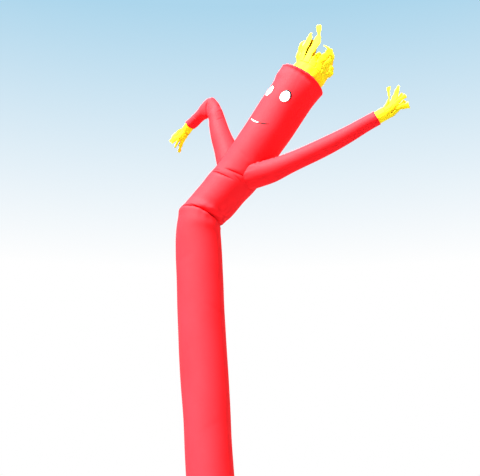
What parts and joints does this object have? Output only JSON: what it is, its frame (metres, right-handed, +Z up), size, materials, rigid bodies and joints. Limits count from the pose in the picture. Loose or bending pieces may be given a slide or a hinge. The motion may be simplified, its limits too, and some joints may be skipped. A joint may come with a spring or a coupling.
{
  "type": "inflatable air dancer",
  "caption": "Tall inflatable tube figure of red nylon, bent at the waist, with two sleeves, a plain smiling face and yellow fringes for hair and hands.",
  "frame": {"origin": "middle of the bounding box, on the ground plane that the foot hem stands on", "axes": "+Z up, -Y towards the viewer that the face looks at, +X to the viewer's right, where the head leans"},
  "size_m": [2.3873, 1.4516, 6.1216],
  "materials": {
    "red_nylon": "thin coated ripstop nylon, soft sheen, lets light through",
    "yellow_nylon": "thin coated nylon strips, soft sheen, lets light through",
    "black_cloth": "matt cloth patch",
    "white_cloth": "matt cloth patch"
  },
  "bodies": {
    "root": {"body_tube": "red_nylon", "arm_right": "red_nylon", "arm_left": "red_nylon", "hair": "yellow_nylon", "hand_right": "yellow_nylon", "hand_left": "yellow_nylon", "eye_right_rim": "black_cloth", "eye_left_rim": "black_cloth", "eye_right_white": "white_cloth", "eye_left_white": "white_cloth", "mouth_line": "black_cloth", "mouth_white": "white_cloth"}
  },
  "joints": []
}
